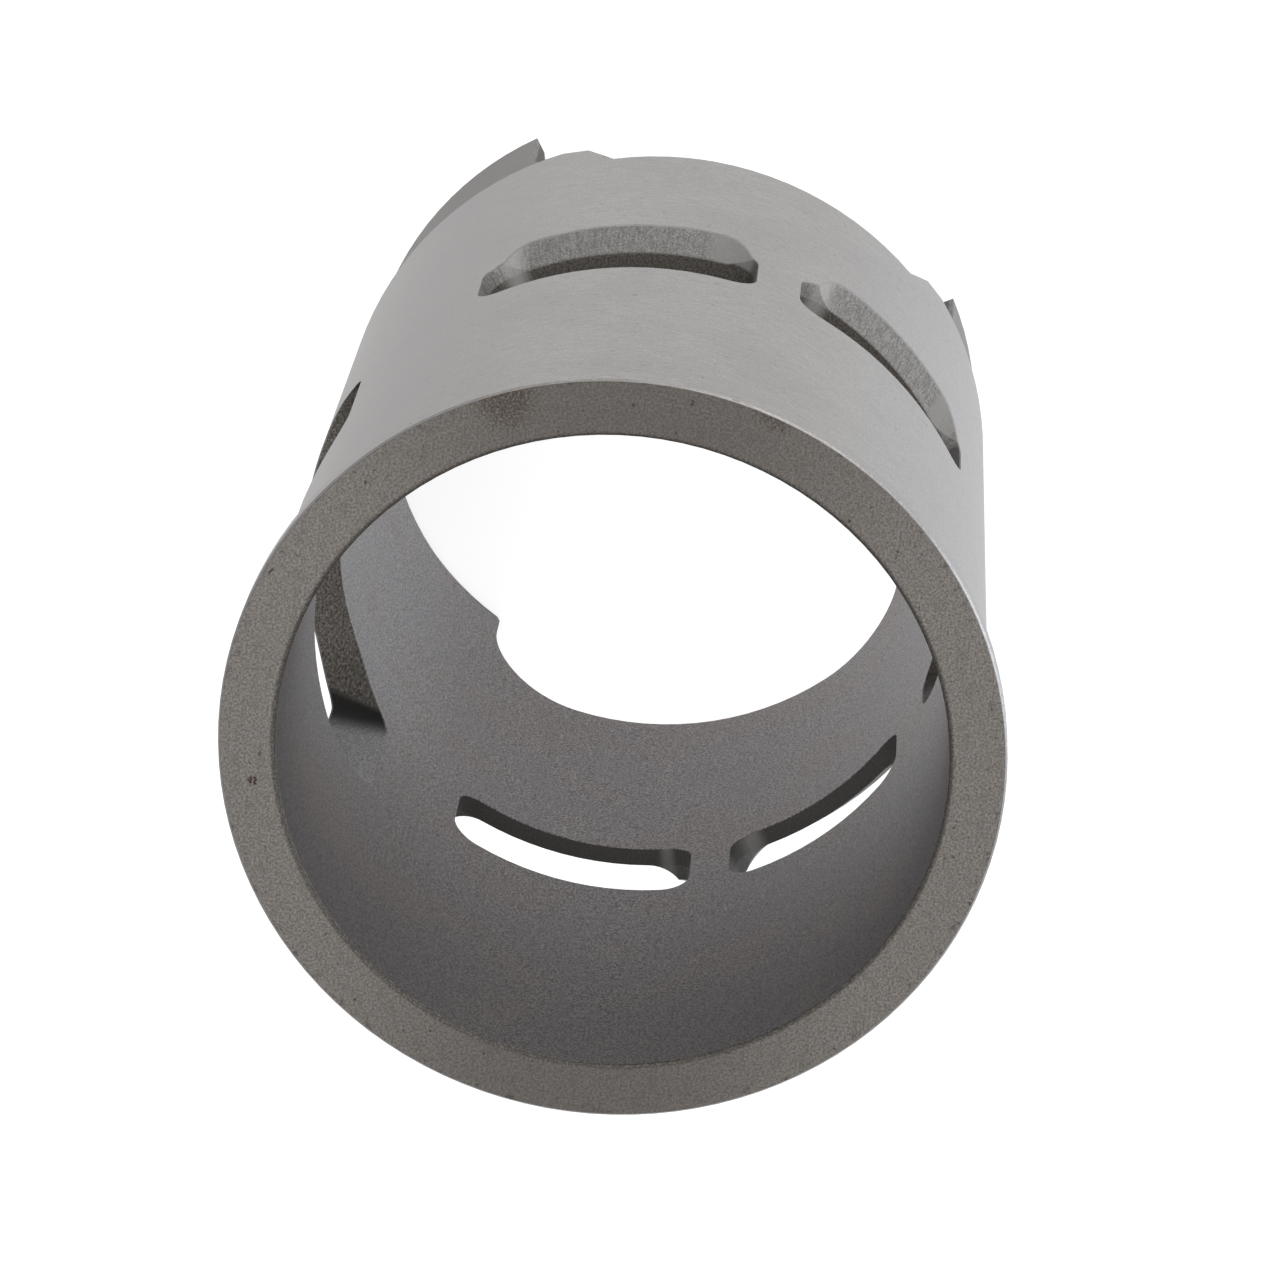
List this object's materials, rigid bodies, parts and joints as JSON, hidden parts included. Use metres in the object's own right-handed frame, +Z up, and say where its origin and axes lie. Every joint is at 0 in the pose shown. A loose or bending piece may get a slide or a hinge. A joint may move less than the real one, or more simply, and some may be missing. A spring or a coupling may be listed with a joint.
{
  "type": "cylinder liner",
  "caption": "Two-stroke engine cylinder liner: flanged iron sleeve with exhaust, transfer and boost ports through its wall and an open, notched skirt.",
  "frame": {"origin": "centre of the bore at the skirt end, the lowest level of the part", "axes": "+Z up the bore towards the flange; -Y through the exhaust port, +Y through the boost port"},
  "size_m": [0.089, 0.089, 0.13],
  "materials": {
    "iron": "ground outside, honed bore, fine-turned deck face, milled port floors, bare metal"
  },
  "bodies": {
    "root": {"cylinder_liner": "iron"}
  },
  "joints": []
}
